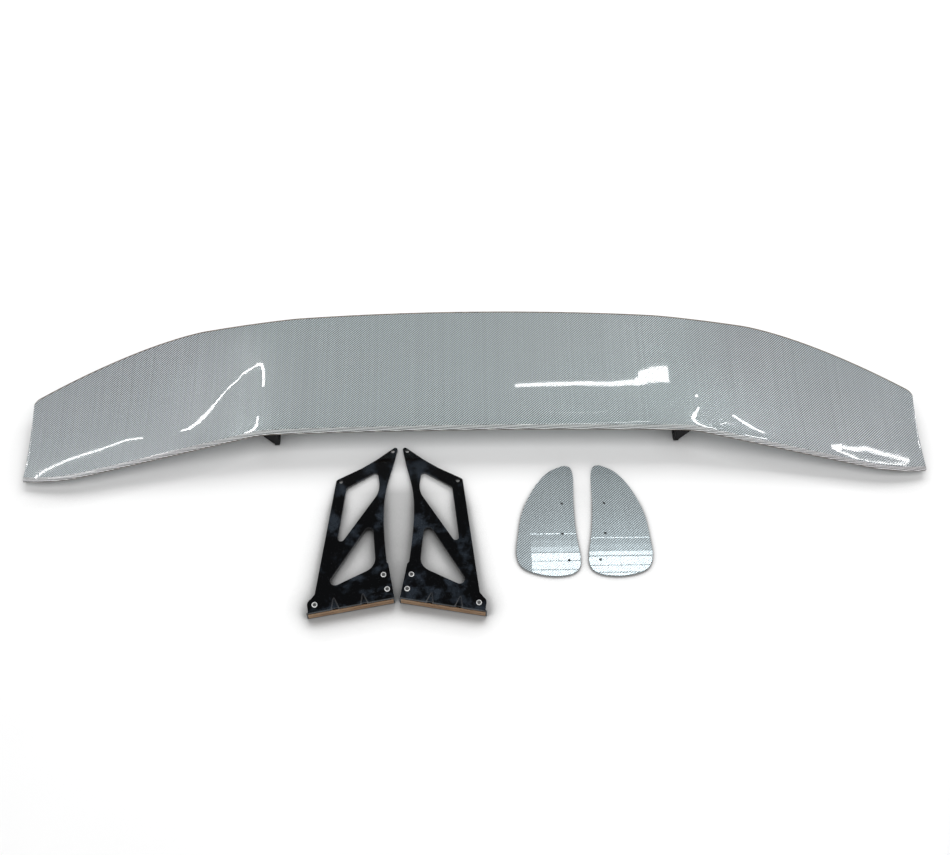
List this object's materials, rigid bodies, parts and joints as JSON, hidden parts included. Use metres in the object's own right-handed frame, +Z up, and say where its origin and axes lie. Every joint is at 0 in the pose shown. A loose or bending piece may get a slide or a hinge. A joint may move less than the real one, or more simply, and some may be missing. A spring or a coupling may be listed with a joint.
{
  "type": "racing rear wing",
  "caption": "Racing rear wing kit laid out on the floor: swept gull blade on its mounting lugs, two pierced uprights with folded feet, and flat end plates.",
  "frame": {"origin": "on the floor, under the centre of the laid-out kit's bounding box", "axes": "+X along the blade's span, +Y from the feet towards the blade's trailing edge, +Z up"},
  "size_m": [1.614, 0.5684, 0.0915],
  "materials": {
    "silver_twill": "clear-coated silver twill laminate, high gloss",
    "end_plate_twill": "clear-coated silver twill laminate, high gloss",
    "laminate_edge": "raw bonded laminate edge, tan, matte",
    "core_laminate": "uncoated fibre laminate",
    "core_block": "dense insert block",
    "black_coat": "gloss black powder coat on metal",
    "tape_liner": "brown mounting-tape liner",
    "bright_steel": "bright stainless steel",
    "brass": "plain brass"
  },
  "bodies": {
    "blade": {"upper_skin": "silver_twill", "lower_skin": "silver_twill", "edge_bond": "laminate_edge", "front_spar": "core_laminate", "rear_spar": "core_laminate", "left_hardpoint": "core_block", "right_hardpoint": "core_block", "left_tip_rib": "core_laminate", "right_tip_rib": "core_laminate", "tip_inserts": "brass", "left_lug": "black_coat", "right_lug": "black_coat", "lug_screws": "bright_steel"},
    "left_upright": {"left_upright_plate": "black_coat", "left_foot_bracket": "black_coat", "left_foot_tape": "tape_liner", "left_bracket_screws": "bright_steel", "left_bracket_washers": "bright_steel", "left_bracket_nuts": "bright_steel"},
    "right_upright": {"right_upright_plate": "black_coat", "right_foot_bracket": "black_coat", "right_foot_tape": "tape_liner", "right_bracket_screws": "bright_steel", "right_bracket_washers": "bright_steel", "right_bracket_nuts": "bright_steel"},
    "left_end_plate": {"left_end_plate": "end_plate_twill"},
    "right_end_plate": {"right_end_plate": "end_plate_twill"}
  },
  "joints": [
    {"name": "left_upright_lift", "type": "slide", "parent": "blade", "child": "left_upright", "axis": [0, 0, 1], "range_m": [0, 0.15]},
    {"name": "right_upright_lift", "type": "slide", "parent": "blade", "child": "right_upright", "axis": [0, 0, 1], "range_m": [0, 0.15]},
    {"name": "left_end_plate_lift", "type": "slide", "parent": "blade", "child": "left_end_plate", "axis": [0, 0, 1], "range_m": [0, 0.15]},
    {"name": "right_end_plate_lift", "type": "slide", "parent": "blade", "child": "right_end_plate", "axis": [0, 0, 1], "range_m": [0, 0.15]}
  ]
}
